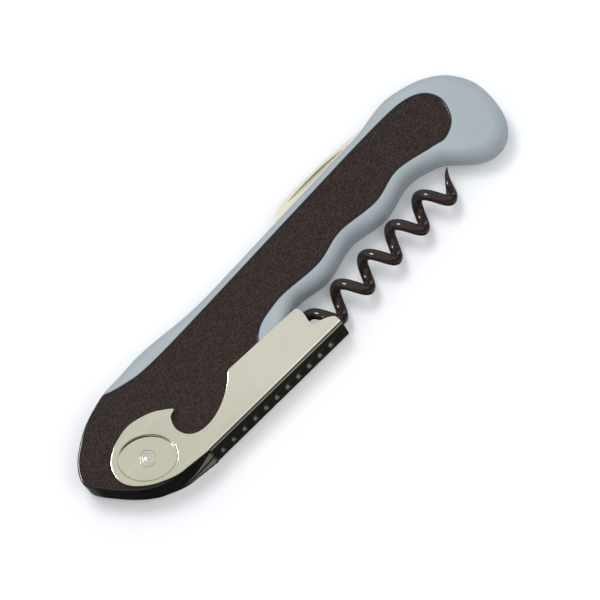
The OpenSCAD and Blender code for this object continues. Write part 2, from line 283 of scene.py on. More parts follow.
def foot(height: float, radius: float, count: int = 5) -> Steps:
    """Steps for a quarter-round that starts level at a height and rises into the wall."""
    return [(2 * height - z, depth) for z, depth in rim(height, radius, 1.0, count)[::-1]]


def turned(name: str, profile: Array, x: float, y: float, count: int = 64) -> bpy.types.Object:
    """A profile of radius and height turned round an upright axis at x, y.

    A point at radius r and height h becomes x + r cos(a), y + r sin(a), h for every angle a.

    Args:
        name: the object's name.
        profile: a closed loop of radius and height, or one that starts and ends on the axis.
        x: the axis's place along X.
        y: the axis's place along Y.
        count: how many steps a full turn has.

    Returns:
        The new object.
    """
    on_axis = profile[0, 0] < 1e-9
    body = profile[1:-1] if on_axis else profile
    a = np.linspace(0, 2 * np.pi, count, endpoint=False)
    rings = np.stack([x + body[:, :1] * np.cos(a), y + body[:, :1] * np.sin(a),
                      np.repeat(body[:, 1:], count, axis=1)], -1)
    points = rings.reshape(-1, 3)
    faces = grid_faces(len(body), count, wrap_rows=not on_axis)
    if on_axis:
        base, crown = len(points), len(points) + 1
        points = np.vstack([points, [[x, y, profile[0, 1]], [x, y, profile[-1, 1]]]])
        j = np.arange(count)
        last = (len(body) - 1) * count
        faces += np.column_stack([np.full(count, base), (j + 1) % count, j]).tolist()
        faces += np.column_stack([np.full(count, crown), last + j, last + (j + 1) % count]).tolist()
    return solid(name, points, faces)


def swept(name: str, path: Array, radii: Array, sides: int = 28) -> bpy.types.Object:
    """A round wire along a path in space.

    Each ring stands square to the path: its points are the path's point plus the radius times
    cos(a) u + sin(a) v, where u is level and v = tangent x u. Both ends close in a small dome,
    the first one flatter than the last.

    Args:
        name: the object's name.
        path: the points of the wire's middle line.
        radii: the wire's radius at each of them.
        sides: how many points each ring has.

    Returns:
        The new object.
    """
    tangent = np.gradient(path, axis=0)
    tangent /= np.linalg.norm(tangent, axis=1, keepdims=True)
    caps = np.radians([90, 60, 30])
    flatness, least = 0.45, 0.02
    lead = path[0] - tangent[0] * radii[0] * flatness * np.sin(caps)[:, None]
    tail = path[-1] + tangent[-1] * radii[-1] * np.sin(caps[::-1])[:, None]
    path = np.vstack([lead, path, tail])
    tangent = np.vstack([np.repeat(tangent[:1], 3, 0), tangent, np.repeat(tangent[-1:], 3, 0)])
    radii = np.concatenate([radii[0] * np.maximum(np.cos(caps), least), radii,
                            radii[-1] * np.maximum(np.cos(caps[::-1]), least)])
    level = np.cross(tangent, [0.0, 0.0, 1.0])
    level /= np.linalg.norm(level, axis=1, keepdims=True)
    other = np.cross(tangent, level)
    a = np.linspace(0, 2 * np.pi, sides, endpoint=False)[None, :, None]
    rings = path[:, None] + radii[:, None, None] * (np.cos(a) * level[:, None]
                                                    + np.sin(a) * other[:, None])
    return stack(name, rings)


def combine(base: bpy.types.Object, tool: bpy.types.Object, how: Cut) -> bpy.types.Object:
    """Combines two closed solids exactly and removes the tool.

    Args:
        base: the solid that is changed.
        tool: the solid that changes it.
        how: what is done with the tool's volume.

    Returns:
        The changed base.
    """
    step = base.modifiers.new("cut", "BOOLEAN")
    step.operation, step.solver, step.object = how.value, "MANIFOLD", tool
    graph = bpy.context.evaluated_depsgraph_get()
    mesh = bpy.data.meshes.new_from_object(base.evaluated_get(graph))
    base.modifiers.clear()
    used = [base.data, tool.data]
    base.data = mesh
    bpy.data.objects.remove(tool)
    for old in used:
        bpy.data.meshes.remove(old)
    return base


@dataclass(frozen=True)
class Bench:
    """Where the drawing's own origin, the lever's pivot, is in the row frame."""

    pivot: Vector

    def settle(self, piece: bpy.types.Object) -> bpy.types.Object:
        """Turns a piece's millimetres into the row frame's metres, in its mesh."""
        shift = Matrix.Translation((self.pivot.x, self.pivot.y, 0.0))
        piece.data.transform(shift @ Matrix.Scale(0.001, 4))
        return piece

    def seat(self, piece: bpy.types.Object, finish: "Finish", body: str, node: str,
             slot: str, sharp: float = 32.0) -> bpy.types.Object:
        """Places a piece, gives it its finish and shading, and ties it to the model.

        Args:
            piece: the piece, in millimetres.
            finish: the material that it wears.
            body: the moving body that carries it.
            node: the part of the model that it stands for.
            slot: the record's material slot; not used.
            sharp: the angle in degrees above which an edge stays sharp.

        Returns:
            The piece, ready.
        """
        shape = bmesh.new()
        shape.from_mesh(piece.data)
        bmesh.ops.remove_doubles(shape, verts=shape.verts, dist=0.003)
        bmesh.ops.dissolve_degenerate(shape, edges=shape.edges, dist=0.002)
        bmesh.ops.dissolve_limit(shape, angle_limit=math.radians(0.05), verts=shape.verts,
                                 edges=shape.edges)
        shape.to_mesh(piece.data)
        shape.free()
        self.settle(piece)
        piece.data.materials.clear()
        piece.data.materials.append(finish.material())
        piece.data.shade_smooth()
        piece.data.set_sharp_from_angle(angle=math.radians(sharp))
        weighted = piece.modifiers.new("shade", "WEIGHTED_NORMAL")
        weighted.keep_sharp, weighted.weight = True, 60
        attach(piece, body)
        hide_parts(node)
        log.info("%s: %d faces on %s", piece.name, len(piece.data.polygons), body)
        return piece


# Finishes


@dataclass
class Graph:
    """A material's nodes, with short ways to add the ones that the finishes share."""

    tree: bpy.types.NodeTree
    shader: bpy.types.Node

    def add(self, kind: str, **sockets: object) -> bpy.types.Node:
        """A new node of one kind; each named socket is linked to another or set to a value."""
        node = self.tree.nodes.new("ShaderNode" + kind)
        for name, value in sockets.items():
            self.wire(node.inputs[name], value)
        return node

    def wire(self, socket: bpy.types.NodeSocket, value: object) -> None:
        """Links a socket to another node's output, or sets its own value."""
        if isinstance(value, bpy.types.NodeSocket):
            self.tree.links.new(value, socket)
        else:
            socket.default_value = value

    def place(self, stretch: Colour = (1.0, 1.0, 1.0)) -> bpy.types.NodeSocket:
        """The piece's own coordinates in metres, stretched along each axis."""
        spot = self.add("TexCoord").outputs["Object"]
        if stretch == (1.0, 1.0, 1.0):
            return spot
        return self.add("Mapping", Vector=spot, Scale=stretch).outputs["Vector"]

    def noise(self, scale: float, detail: float = 2.0, stretch: Colour = (1.0, 1.0, 1.0),
              rough: float = 0.5) -> bpy.types.NodeSocket:
        """Soft noise with scale blobs to a metre."""
        return self.add("TexNoise", Vector=self.place(stretch), Scale=scale, Detail=detail,
                        Roughness=rough).outputs["Fac"]

    def along(self, low: float, high: float) -> bpy.types.NodeSocket:
        """A share that grows from 0 to 1 between two places along the object, in metres."""
        spot = self.add("SeparateXYZ", Vector=self.place()).outputs["X"]
        return self.span(spot, low, high, 0.0, 1.0)

    def cells(self, scale: float) -> bpy.types.NodeSocket:
        """The distance to the nearest of many scattered points, scale of them to a metre."""
        return self.add("TexVoronoi", Vector=self.place(), Scale=scale).outputs["Distance"]

    def span(self, value: bpy.types.NodeSocket, low: float, high: float, to_low: float,
             to_high: float) -> bpy.types.NodeSocket:
        """A value carried evenly from one range to another and held inside it."""
        node = self.add("MapRange")
        for name, number in (("Value", value), ("From Min", low), ("From Max", high),
                             ("To Min", to_low), ("To Max", to_high)):
            self.wire(node.inputs[name], number)
        return node.outputs["Result"]

    def blend(self, share: bpy.types.NodeSocket, first: object,
              second: object) -> bpy.types.NodeSocket:
        """A colour between two others, each a colour or another node's output."""
        node = self.tree.nodes.new("ShaderNodeMix")
        node.data_type = "RGBA"
        self.wire(node.inputs[0], share)
        for socket, value in ((node.inputs[6], first), (node.inputs[7], second)):
            self.wire(socket, (*value, 1.0) if isinstance(value, tuple) else value)
        return node.outputs[2]

    def bump(self, height: bpy.types.NodeSocket, depth: float, strength: float = 1.0,
             under: bpy.types.NodeSocket | None = None) -> bpy.types.NodeSocket:
        """A normal tilted by a height that is depth millimetres deep, on top of another bump."""
        node = self.add("Bump", Height=height, Distance=depth * 0.001, Strength=strength)
        if under is not None:
            self.wire(node.inputs["Normal"], under)
        return node.outputs["Normal"]

    def set(self, **sockets: object) -> None:
        """Sets or links the shader's own sockets, with underscores for spaces in their names."""
        for name, value in sockets.items():
            socket = self.shader.inputs[name.replace("_", " ")]
            self.wire(socket, (*value, 1.0) if isinstance(value, tuple) else value)


@dataclass(frozen=True)
class Finish:
    """A surface finish; each kind adds its own nodes in dress()."""

    name: str

    def material(self) -> bpy.types.Material:
        """The Blender material of this finish, made once."""
        title = "finish_" + self.name
        found = bpy.data.materials.get(title)
        if found is not None:
            return found
        made = bpy.data.materials.new(title)
        made.use_nodes = True
        shader = made.node_tree.nodes["Principled BSDF"]
        self.dress(Graph(made.node_tree, shader))
        return made

    def dress(self, graph: Graph) -> None:
        """Adds the finish's nodes to an empty material."""
        raise NotImplementedError


@dataclass(frozen=True)
class SoftGrip(Finish):
    """Matte soft rubber: faint clouding, a fine moulded grain and a few stray specks."""

    name: str = "soft_grip"
    colour: Colour = (0.318, 0.366, 0.394)

    def dress(self, graph: Graph) -> None:
        """Clouds and specks tint the colour; two grains roughen and dent the surface."""
        light = tuple(min(1.0, c * 1.06) for c in self.colour)
        dark = tuple(c * 0.94 for c in self.colour)
        clouds = graph.span(graph.noise(70, 3), 0.3, 0.7, 0, 1)
        specks = graph.span(graph.cells(420), 0.035, 0.06, 1, 0)
        tint = graph.blend(clouds, dark, light)
        grain = graph.noise(2400, 3)
        skin = graph.bump(grain, 0.02, 0.35)
        skin = graph.bump(graph.noise(240, 2), 0.03, 0.35, skin)
        graph.set(Base_Color=graph.blend(specks, tint, (0.55, 0.57, 0.56)),
                  Roughness=graph.span(grain, 0.3, 0.7, 0.5, 0.62), Normal=skin,
                  Specular_IOR_Level=0.4, Sheen_Weight=0.08, Sheen_Roughness=0.5)


@dataclass(frozen=True)
class SpeckledInlay(Finish):
    """Matte dark brown with a speckle as fine as salt."""

    name: str = "speckled_inlay"
    dark: Colour = (0.014, 0.009, 0.0078)
    light: Colour = (0.048, 0.035, 0.031)

    def dress(self, graph: Graph) -> None:
        """Two grains mix the colours, and scattered points add paler flecks."""
        fine = graph.noise(2700, 2, rough=0.6)
        shade = graph.blend(graph.span(fine, 0.34, 0.66, 0, 1), self.dark, self.light)
        flecks = graph.span(graph.cells(1300), 0.14, 0.3, 1, 0)
        strength = graph.span(graph.noise(900, 1), 0.5, 0.72, 0, 0.5)
        share = graph.add("Math")
        share.operation = "MULTIPLY"
        graph.wire(share.inputs[0], flecks)
        graph.wire(share.inputs[1], strength)
        graph.set(Base_Color=graph.blend(share.outputs[0], shade, (0.085, 0.068, 0.064)),
                  Roughness=graph.span(fine, 0.3, 0.7, 0.72, 0.85),
                  Normal=graph.bump(fine, 0.03, 0.4), Specular_IOR_Level=0.08)


@dataclass(frozen=True)
class Moulding(Finish):
    """Black moulded plastic, from glossy to dull."""

    name: str = "black_shell"
    colour: Colour = (0.0045, 0.0045, 0.004)
    gloss: float = 0.08

    def dress(self, graph: Graph) -> None:
        """Smudges vary the gloss, over a faint rippled skin."""
        smudge = graph.noise(130, 4, rough=0.6)
        light = tuple(c * 2.2 for c in self.colour)
        graph.set(Base_Color=graph.blend(graph.span(smudge, 0.4, 0.7, 0, 1), self.colour, light),
                  Roughness=graph.span(smudge, 0.3, 0.7, self.gloss * 0.75, self.gloss * 1.5),
                  Normal=graph.bump(graph.noise(420, 2), 0.02, 0.25),
                  Specular_IOR_Level=0.55)


@dataclass(frozen=True)
class PolishedSteel(Finish):
    """Mirror-polished sheet with slight waves and hairline scratches."""

    name: str = "polished_steel"
    colour: Colour = (0.86, 0.835, 0.70)
    rough: float = 0.1
    wave: float = 0.05

    def dress(self, graph: Graph) -> None:
        """Broad waves bend the reflection, and long thin noise lays the polishing lines.

        The colour is painted darker round the pivot, as painted shade over the recess and hook.
        """
        lines = graph.noise(900, 3, (0.12, 2.2, 1.0), 0.6)
        cloud = graph.noise(110, 3)
        r, g, b = self.colour
        # painted shade: both colours darken towards the pivot end of the sheet
        painted_pivot_shade = graph.blend(graph.along(-0.05, -0.012), (r * 0.84, g * 0.84, b * 0.8), self.colour)
        shade = graph.blend(graph.along(-0.05, -0.012), (r * 0.78, g * 0.78, b * 0.74),
                            (r * 0.95, g * 0.95, b * 0.94))
        skin = graph.bump(graph.noise(75, 1), self.wave, 0.5)
        skin = graph.bump(lines, 0.004, 0.4, skin)
        graph.set(Base_Color=graph.blend(graph.span(cloud, 0.3, 0.7, 0, 1), shade, painted_pivot_shade),
                  Metallic=1.0, Normal=skin,
                  Roughness=graph.span(lines, 0.25, 0.75, self.rough * 0.7, self.rough * 1.4))


@dataclass(frozen=True)
class GroundSteel(Finish):
    """Steel with fine grinding lines, from satin frame parts to the blade."""

    name: str = "blade_steel"
    colour: Colour = (0.84, 0.81, 0.68)
    rough: float = 0.24
    grain: Colour = (0.12, 2.2, 1.0)

    def dress(self, graph: Graph) -> None:
        """Stretched noise gives the grinding lines their tone, gloss and depth."""
        lines = graph.noise(1100, 4, self.grain, 0.65)
        stain = graph.noise(160, 3)
        dark = tuple(c * 0.96 for c in self.colour)
        tone = graph.blend(graph.span(lines, 0.3, 0.7, 0, 1), dark, self.colour)
        aged = graph.span(stain, 0.55, 0.8, 0, 0.35)
        graph.set(Base_Color=graph.blend(aged, tone, tuple(c * 0.7 for c in self.colour)),
                  Metallic=1.0, Normal=graph.bump(lines, 0.0015, 0.3),
                  Roughness=graph.span(lines, 0.25, 0.75, self.rough * 0.85, self.rough * 1.2))


@dataclass(frozen=True)
class CoatedWire(Finish):
    """A glossy dark brown non-stick coat, a little uneven where it dried."""

    name: str = "coated_wire"
    colour: Colour = (0.02, 0.0125, 0.011)

    def dress(self, graph: Graph) -> None:
        """Slow noise thins the coat, and fine noise pits it."""
        slow = graph.noise(260, 3)
        light = tuple(c * 1.5 for c in self.colour)
        skin = graph.bump(graph.noise(1900, 3), 0.012, 0.35)
        graph.set(Base_Color=graph.blend(graph.span(slow, 0.35, 0.7, 0, 1), self.colour, light),
                  Roughness=graph.span(slow, 0.3, 0.7, 0.12, 0.2),
                  Normal=graph.bump(slow, 0.04, 0.4, skin), Specular_IOR_Level=0.25,
                  Coat_Weight=0.2, Coat_Roughness=0.08)


# The handle


@dataclass
class Handle:
    """The handle: two black shell halves with inlays, and the soft grip round them.

    Lengths are millimetres from the lever's pivot: X towards the head, Y towards the spine.
    The halves named last are half the heights of the spaces that the inner pieces need.
    """

    bench: Bench
    thickness: float = 8.6
    mid: float = 5.45
    tail: float = 13.3
    head: float = 107.0
    spine: float = 16.05
    groove_pitch: float = 18.0
    groove_depth: float = 1.7
    groove_top: float = 1.2
    step_x: float = 46.6
    wall: float = 1.9
    inlay_depth: float = 0.5
    inlay_margin: float = 0.4
    tail_rim: float = 0.45
    grip_rim: float = 2.7
    rim_drop: float = 1.3
    knife_x: float = 93.8
    knife_y: float = 10.0
    worm_pin_x: float = 38.5
    pin_radius: float = 1.52
    sleeve_radius: float = 1.87
    frame_half: float = 2.32
    knife_half: float = 1.2
    worm_half: float = 2.0
    pin_half: float = 3.12
    outline: Array = field(init=False)
    edge: Array = field(init=False)
    panel: Array = field(init=False)

    def __post_init__(self) -> None:
        """Draws the outline and the panel's edge from the sizes."""
        self.outline = evened(curve(self.outline_knots(), closed=True), 1000)
        self.edge = curve(self.panel_knots())
        self.panel = np.vstack([self.edge, [[-50, self.spine + 4], [-50, -12]]])

    @property
    def top(self) -> float:
        """The height of the upper face."""
        return self.mid + self.thickness / 2

    def grooves(self, rise: float, shift: float, top_rise: float) -> Knots:
        """The finger grooves' knots, low between the fingers and high on the ridges.

        Args:
            rise: how far the low knots are above the groove's bottom.
            shift: how far the low knots move along X.
            top_rise: how far the ridges' knots are above the ridges.

        Returns:
            Knots from the tail towards the head.
        """
        last = self.head - 25.7
        return [knot for k in (2, 1, 0) for knot in (
            [last - (k + 0.5) * self.groove_pitch + shift,
             self.groove_top - self.groove_depth + rise],
            [last - k * self.groove_pitch, self.groove_top + top_rise])]

    def outline_knots(self) -> Knots:
        """The handle's outline, anticlockwise from the tail along the belly."""
        t, h, s, step = self.tail, self.head, self.spine, self.step_x
        belly = [[-t, 7], [0.7 - t, 4.9], [-10.8, 2.2], [-8.7, -0.6], [-6, -3.5], [-3, -5.7],
                 [1, -7.1], [6, -7.6], [14, -7.4], [24, -7.2], [step - 14.6, -6.2],
                 [step - 8.1, -4], [step - 3.8, -0.8], [step, 0.9]]
        grooves = [knot for knot in self.grooves(0, 0, 0) if knot[0] > step + 5]
        head = [[h - 18.4, -1.2], [h - 15.2, -4.4], [h - 12.1, -7.4], [h - 8.7, -8.9],
                [h - 4.7, -8.4], [h - 1.5, -5.2], [h, 0], [h - 0.1, 5.6], [h - 2.7, 10.8],
                [h - 6.9, s - 1.75], [h - 11.5, s + 0.15], [h - 16.1, s + 1.15],
                [h - 20.7, s + 0.85], [h - 25.2, s + 0.05], [h - 30, s]]
        back = [[70, s], [52, s], [40, s], [34, s + 0.1], [29, s + 0.5], [24, s + 1.25],
                [18.5, s + 2.05], [13.5, s + 2.4], [7.5, s + 2.1], [2, s + 1.2], [-4, s - 0.55],
                [4.1 - t, 12.5], [1.3 - t, 9.8]]
        return belly + grooves + head + back

    def panel_knots(self) -> Knots:
        """The edge between the shells and the grip, from the belly round the head to the spine."""
        h, s, step = self.head, self.spine, self.step_x
        start = [[step - 13.6, -12], [step - 13.4, -3], [step - 12.2, 0.1], [step - 9.4, 2.1],
                 [step - 5.6, 2.9], [step - 1.1, 3.15]]
        ridges = [knot for knot in self.grooves(2.6, 0.9, 2.25) if knot[0] > step + 3]
        end = [[h - 17, 1.3], [h - 13.4, 0.5], [h - 9.6, 2.4], [h - 7.7, 6.9],
               [h - 9.1, s - 5.25], [h - 12.9, s - 3], [h - 18.8, s - 2.2], [h - 30, s - 1.95],
               [70, s - 1.95], [50, s - 1.95], [25, s - 1.95], [14, s - 1.6], [9, s - 0.7],
               [4, s + 1.1], [0.5, s + 4]]
        return start + ridges + end

    def body(self, name: str) -> bpy.types.Object:
        """The whole handle as one solid with rounded rims.

        A ring at angle a on the rim lies inset by w (1 - cos a) and r w (1 - sin a) below the
        face. The width w follows the distance to the panel's edge, so the rim takes up the whole
        grip beside the panel and closes to a fine edge round the tail.
        """
        share, window = 0.97, 31
        w = np.clip(distance_to(self.outline, self.edge) * share, self.tail_rim, self.grip_rim)
        w = np.where(is_inside(self.outline, self.panel), self.tail_rim, w)
        w = softened(w, window)
        half = self.thickness / 2
        drop = np.minimum(w * self.rim_drop, half - 0.3)
        angles = np.radians(np.linspace(0, 90, 12))
        upper = [np.column_stack([inset(self.outline, w * (1 - math.cos(a))),
                                  self.mid + half - drop * (1 - math.sin(a))]) for a in angles]
        lower = [ring * [1, 1, -1] + [0, 0, 2 * self.mid] for ring in upper[::-1]]
        return stack(name, np.stack(lower + upper))

    def spaces(self) -> list[bpy.types.Object]:
        """What every outer piece leaves free: frame, knife slot, worm slot and pins."""
        kx, ky = self.knife_x, self.knife_y
        tail_end, beyond = kx - 40.8, self.spine + 15
        knife = np.array([[tail_end, ky - 1.5], [kx, ky - 3.7], [kx + 2, 3.4],
                          [self.head + 5, 1], [self.head + 5, beyond], [tail_end, beyond]])
        worm = np.array([[27.5, -12.0], [44.2, -12.0], [44.2, 3.0], [27.5, 3.0]])
        pin = ellipse(self.pin_radius, self.pin_radius, 0, 48)
        shapes = (("frame_space", inset(self.outline, self.wall), self.frame_half),
                  ("knife_space", knife, self.knife_half),
                  ("worm_space", worm, self.worm_half),
                  ("worm_pin_hole", pin + [self.worm_pin_x, 0], self.pin_half),
                  ("knife_pin_hole", pin + [kx, ky], self.pin_half))
        return [prism(name, shape, self.mid - half, self.mid + half)
                for name, shape, half in shapes]

    def sleeve_hole(self) -> bpy.types.Object:
        """The hole for the lever's sleeve, right through the handle."""
        circle = ellipse(self.sleeve_radius, self.sleeve_radius, 0, 64)
        return prism("sleeve_hole", circle, -2, 14)

    def pocket(self, name: str, gap: float, steps: Steps,
               flip: float | None) -> bpy.types.Object:
        """The inlay's flat shape: the panel less its margin, kept inside the outline.

        Args:
            name: the shape's name.
            gap: an extra inset all round.
            steps: heights and insets from its floor up.
            flip: the height to turn it over about, for the lower side.

        Returns:
            The shape as a solid.
        """
        margin = self.inlay_margin + gap
        flat = layered(name, inset(self.outline, margin + 0.2), steps, flip)
        edge = layered("pocket_edge", inset(self.panel, margin), steps, flip)
        return combine(flat, edge, Cut.KEEP)

    def grip(self) -> bpy.types.Object:
        """The soft grip: the body outside the panel, with a fine round along the panel."""
        piece = self.body("grip_skin")
        lip = rim(self.top, 0.12, -1.0) + [(self.top + 2, -0.12)]
        low = [(2 * self.mid - z, depth) for z, depth in lip[::-1]]
        combine(piece, layered("panel", self.panel, low + lip), Cut.TAKE)
        for tool in self.spaces():
            combine(piece, tool, Cut.TAKE)
        return self.bench.seat(piece, SoftGrip(), "handle", "grip", "soft_grip", 38)

    def shell(self, name: str, node: str, upper: bool) -> bpy.types.Object:
        """One black half: the body inside the panel, on one side of the middle plane.

        Args:
            name: the piece's name.
            node: the part of the model that it stands for.
            upper: whether it is the half above the middle plane.

        Returns:
            The finished half.
        """
        flip = None if upper else self.mid
        piece = self.body(name)
        edge = [(self.mid - 1, 0.0)] + rim(self.top, 0.1)
        combine(piece, layered("panel", inset(self.panel, 0.02), edge, flip), Cut.KEEP)
        parting = foot(self.mid + 0.01, 0.14) + [(self.mid + 9, 0.0)]
        combine(piece, layered("half", inset(self.outline, -0.03), parting, flip), Cut.KEEP)
        floor = self.top - self.inlay_depth
        lip = [(floor, 0.0)] + rim(self.top, 0.1, -1.0) + [(self.top + 1, -0.1)]
        pocket = self.pocket("pocket", 0, lip, flip)
        for tool in self.spaces() + [pocket, self.sleeve_hole()]:
            combine(piece, tool, Cut.TAKE)
        return self.bench.seat(piece, Moulding(), "handle", node, "black_shell")

    def inlay(self, name: str, node: str, upper: bool) -> bpy.types.Object:
        """One thin decorative inlay, flush with the face.

        Args:
            name: the piece's name.
            node: the part of the model that it stands for.
            upper: whether it lies on the upper face.

        Returns:
            The finished inlay.
        """
        steps = [(self.top - self.inlay_depth + 0.02, 0.0)] + rim(self.top, 0.06)
        piece = self.pocket(name, 0.02, steps, None if upper else self.mid)
        combine(piece, self.sleeve_hole(), Cut.TAKE)
        return self.bench.seat(piece, SpeckledInlay(), "handle", node, "speckled_inlay")

    def build(self) -> None:
        """Makes the handle's five outer pieces."""
        self.grip()
        self.shell("shell_upper", "front_shell", True)
        self.shell("shell_lower", "back_shell", False)
        self.inlay("inlay_upper", "front_inlay", True)
        self.inlay("inlay_lower", "back_inlay", False)


# The lever


@dataclass
class Lever:
    """The lever: one polished sheet bent to a channel, its sleeve and its domed rivet."""

    bench: Bench
    length: float = 49.1
    width: float = 10.9
    sheet: float = 1.0
    bend: float = 1.6
    drop: float = 8.5
    slope: float = 0.05
    web_start: float = 10.1
    recess: tuple[float, float, float] = (6.6, 5.12, 0.5)
    recess_turn: float = -39.0
    recess_wall: float = 0.42
    sleeve: float = 1.85
    hole: float = 1.87
    edge: float = 0.2
    dimple_pitch: float = 3.2
    dimple_size: tuple[float, float] = (1.55, 2.7)
    dimple_depth: float = 0.42
    dimple_z: float = 4.3

    def outline(self) -> Array:
        """The side outline: the hook round the pivot, the bottle opener and the nose."""
        tip, length = self.length - 4.5, self.length
        hook = curve([[self.web_start, -8.8], [8, -8.5], [4.9, -8], [2, -7.5], [-1, -6.25],
                      [-4, -4.4], [-6.7, -1.6], [-7.7, 1.5], [-6.6, 4.7], [-3.9, 6.85],
                      [-1.2, 7.75], [2, 8.15], [5, 7.5], [8, 6.2], [10.2, 4.55],
                      [11.25, 3.6], [11.45, 3.3], [11.3, 3.06]])
        opener = curve([[10.9, 2.93], [9.7, 2.4], [8.7, 0.1], [9.2, -2.3], [10.9, -4],
                        [13.8, -4.7], [17.2, -4.3], [20.6, -3], [23.2, -1.4], [24.9, 0.1]])
        nose = curve([[tip - 1.6, -1.1], [tip + 0.1, -1.4], [tip + 0.5, -2.4], [tip + 0.4, -3.7],
                      [tip, -5.3], [tip, -6], [tip + 0.25, -6.5], [tip + 0.9, -6.85],
                      [tip + 2, -7.3], [tip + 3.2, -7.9], [tip + 4.4, -8.9], [length, -10]])
        return np.vstack([hook, opener, [[25.4, 0.35]], nose])[::-1]

    def profile(self) -> Array:
        """The channel's section as distance from the web's face and height, with round bends."""
        w, t, r, far = self.width, self.sheet, self.bend, 40
        quarter = np.pi / 2

        def arc(radius: float, centre: float, a: Array) -> Array:
            """The points at angles a of a round bend whose centre is at that height."""
            return np.column_stack([r + radius * np.cos(a), centre + radius * np.sin(a)])

        out = np.radians(np.linspace(90, 180, 11))
        inn = np.radians(np.linspace(180, 90, 9))
        upper_out, lower_out = arc(r, w - r, out), arc(r, r, out + quarter)
        upper_in, lower_in = arc(r - t, w - r, inn), arc(r - t, r, inn + quarter)
        across = np.linspace(w - r, r, 22)[1:-1]
        web_out = np.column_stack([np.zeros(20), across])
        web_in = np.column_stack([np.full(20, t), across[::-1]])
        return np.vstack([[[far, w]], upper_out, web_out, lower_out, [[far, 0]], [[far, t]],
                          lower_in, web_in, upper_in, [[far, w - t]]])

    def channel(self) -> bpy.types.Object:
        """The sheet bent to a channel, carried along the lever, with dimples along its web.

        Short of the web's start the web drops out of the side outline, so only the two flat
        cheeks are left there. A dimple sinks by d c(x) c(z), where c rises and falls as the
        square of a cosine across the dimple's length and width.
        """
        clear, spacing, margin = 14.0, 0.16, 3.0
        away, up = self.profile().T
        x = np.concatenate([[-20.0, self.web_start - 0.002],
                            np.arange(self.web_start, self.length + 3, spacing)])
        along = x[:, None]
        on_web = (away <= self.sheet + 1e-6) & (up >= self.bend) & (up <= self.width - self.bend)
        across = np.clip((up - self.dimple_z) / self.dimple_size[1], -1, 1)
        start = self.web_start + margin
        count = int((self.length - 1.5 - start) / self.dimple_pitch)
        near = np.clip(np.round((along - start) / self.dimple_pitch), 0, count)
        beside = (along - start - near * self.dimple_pitch) / self.dimple_size[0]
        dent = np.cos(np.pi / 2 * np.clip(beside, -1, 1)) ** 2 * np.cos(np.pi / 2 * across) ** 2
        y = away + self.dimple_depth * dent * on_web - clear * (along < self.web_start)
        turn = -math.atan(self.slope)
        c, s = math.cos(turn), math.sin(turn)
        rings = np.stack([c * along - s * y, s * along + c * y - self.drop,
                          np.broadcast_to(up, y.shape)], -1)
        return stack("lever_sheet", rings[:, ::-1])

    def oval_cut(self, upper: bool) -> bpy.types.Object:
        """The oval recess round the pivot, with a sloping wall and a rounded lip.

        Args:
            upper: whether it is in the upper cheek.

        Returns:
            The solid to take away.
        """
        a, b, depth = self.recess
        steps = [(self.width - depth, self.recess_wall)] + rim(self.width, 0.12, -1.0)
        steps.append((self.width + 1, -0.12))
        flip = None if upper else self.width / 2
        return layered("oval", ellipse(a, b, self.recess_turn, 120), steps, flip)

    def blade(self) -> bpy.types.Object:
        """The bent sheet trimmed to its side outline, with rounded rims."""
        side = np.vstack([self.outline(), [[self.web_start, -50], [self.length, -50]]])
        piece = self.channel()
        steps = foot(0.0, self.edge) + rim(self.width, self.edge)
        combine(piece, layered("side", side, steps), Cut.KEEP)
        for upper in (True, False):
            combine(piece, self.oval_cut(upper), Cut.TAKE)
        combine(piece, prism("hole", ellipse(self.hole, self.hole, 0, 64), -3, 15), Cut.TAKE)
        return self.bench.seat(piece, PolishedSteel(), "lever", "lever", "polished_steel", 40)

    def rivet(self) -> None:
        """The sleeve flush with the recess floors, and the rivet with a dome at each end."""
        r, mid = self.sleeve, self.width / 2
        half = mid - self.recess[2]
        inner, e = r - 0.53, 0.08
        ring = np.array([[inner, -half], [r - e, -half], [r, e - half], [r, half - e],
                         [r - e, half], [inner, half]]) + [0, mid]
        sleeve = turned("pivot_sleeve", ring, 0, 0)
        steel = PolishedSteel("turned_steel", (0.78, 0.765, 0.69), 0.13, 0.02)
        self.bench.seat(sleeve, steel, "handle", "lever_sleeve", "polished_steel", 50)
        a = np.radians(np.linspace(15, 90, 12))
        dome = np.column_stack([1.12 * np.cos(a), half + 0.01 + 0.42 * np.sin(a)])
        upper = np.vstack([[[r - 0.55, half], [1.4, half], [1.36, half + 0.05],
                            [1.2, half + 0.06]], dome])
        lower = upper[::-1] * [1, -1]
        shaft = np.vstack([lower, upper]) + [0, mid]
        pin = turned("pivot_rivet", shaft, 0, 0)
        bright = PolishedSteel("rivet_steel", (0.86, 0.85, 0.82), 0.09, 0.01)
        self.bench.seat(pin, bright, "handle", "lever_rivet", "polished_steel", 60)

    def build(self) -> None:
        """Makes the lever and what it turns on."""
        self.blade()
        self.rivet()


# The worm


